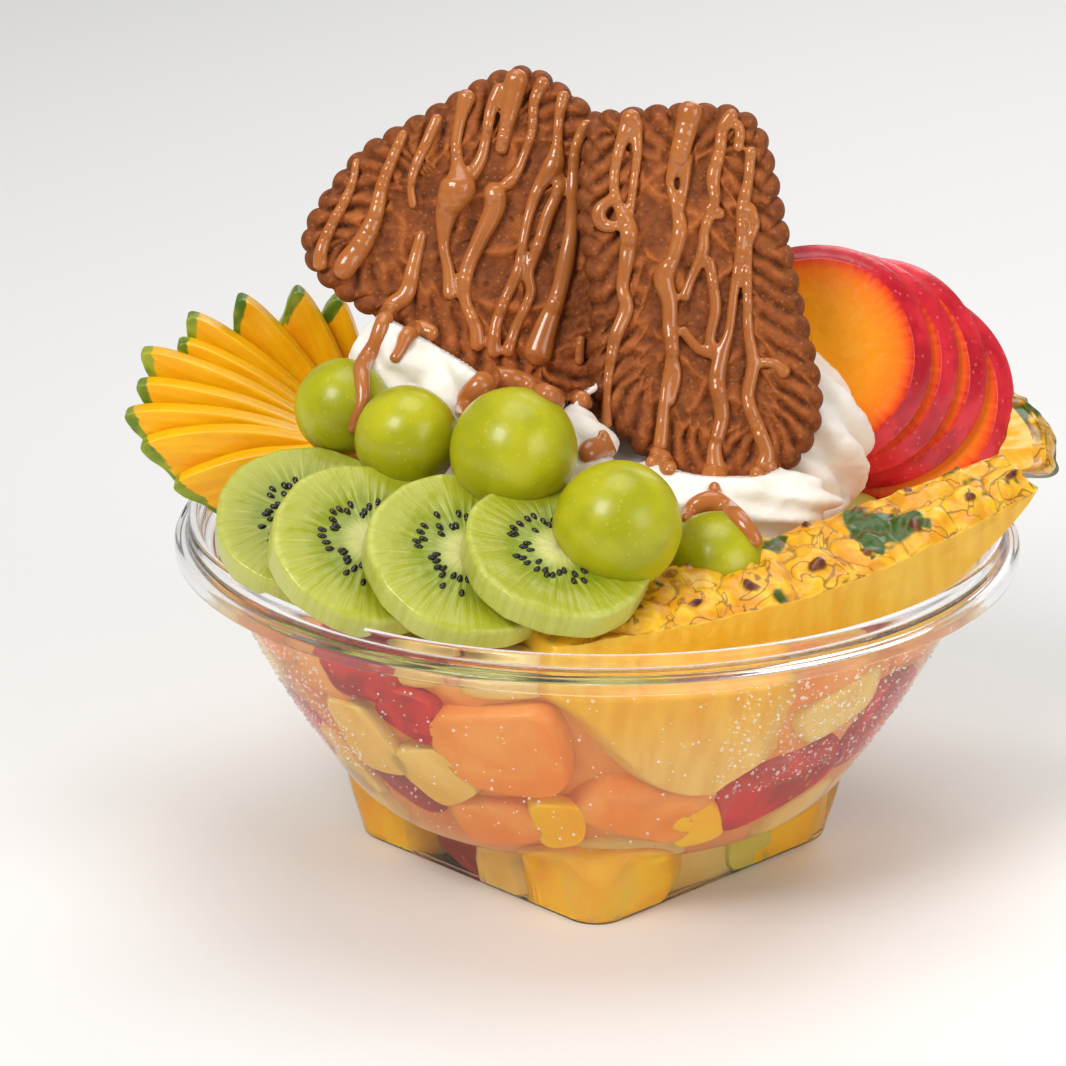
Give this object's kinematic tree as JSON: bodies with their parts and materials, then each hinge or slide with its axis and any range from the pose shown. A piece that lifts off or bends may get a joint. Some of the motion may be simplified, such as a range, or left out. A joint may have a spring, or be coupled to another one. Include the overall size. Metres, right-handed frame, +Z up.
{
  "type": "fruit cup",
  "caption": "Clear plastic bowl on a square foot, filled with cut fruit and topped with a mango fan, fruit slices, grapes, whipped cream and biscuits.",
  "frame": {"origin": "centre of the square foot's underside", "axes": "+Z up; -Y towards the viewer, where one corner of the foot points; +X to the viewer's right"},
  "size_m": [0.1859, 0.165, 0.1506],
  "materials": {
    "clear_plastic": "clear, thin and glossy",
    "cut_fruit": "wet cut fruit in juice",
    "whipped_cream": "soft, satin",
    "biscuit": "baked crumb, with glossy caramel runs",
    "pineapple": "wet fibrous flesh, matte rind",
    "mango": "wet and smooth",
    "kiwi": "wet, with seeds",
    "grape": "smooth skin with a faint bloom",
    "stone_fruit": "wet flesh, crimson skin",
    "caramel": "thick glossy sauce",
    "juice": "thin clear juice"
  },
  "bodies": {
    "root": {"biscuit_left": "biscuit", "biscuit_right": "biscuit", "cup": "clear_plastic", "cut_fruit": "cut_fruit", "grape_1": "grape", "grape_2": "grape", "grape_3": "grape", "grape_4": "grape", "grape_5": "grape", "kiwi_slice_1": "kiwi", "kiwi_slice_2": "kiwi", "kiwi_slice_3": "kiwi", "kiwi_slice_4": "kiwi", "mango_chunk": "mango", "mango_slice_1": "mango", "mango_slice_10": "mango", "mango_slice_2": "mango", "mango_slice_3": "mango", "mango_slice_4": "mango", "mango_slice_5": "mango", "mango_slice_6": "mango", "mango_slice_7": "mango", "mango_slice_8": "mango", "mango_slice_9": "mango", "pineapple_slice_1": "pineapple", "pineapple_slice_2": "pineapple", "stone_fruit_slice_1": "stone_fruit", "stone_fruit_slice_2": "stone_fruit", "stone_fruit_slice_3": "stone_fruit", "stone_fruit_slice_4": "stone_fruit", "whipped_cream": "whipped_cream"}
  },
  "joints": []
}
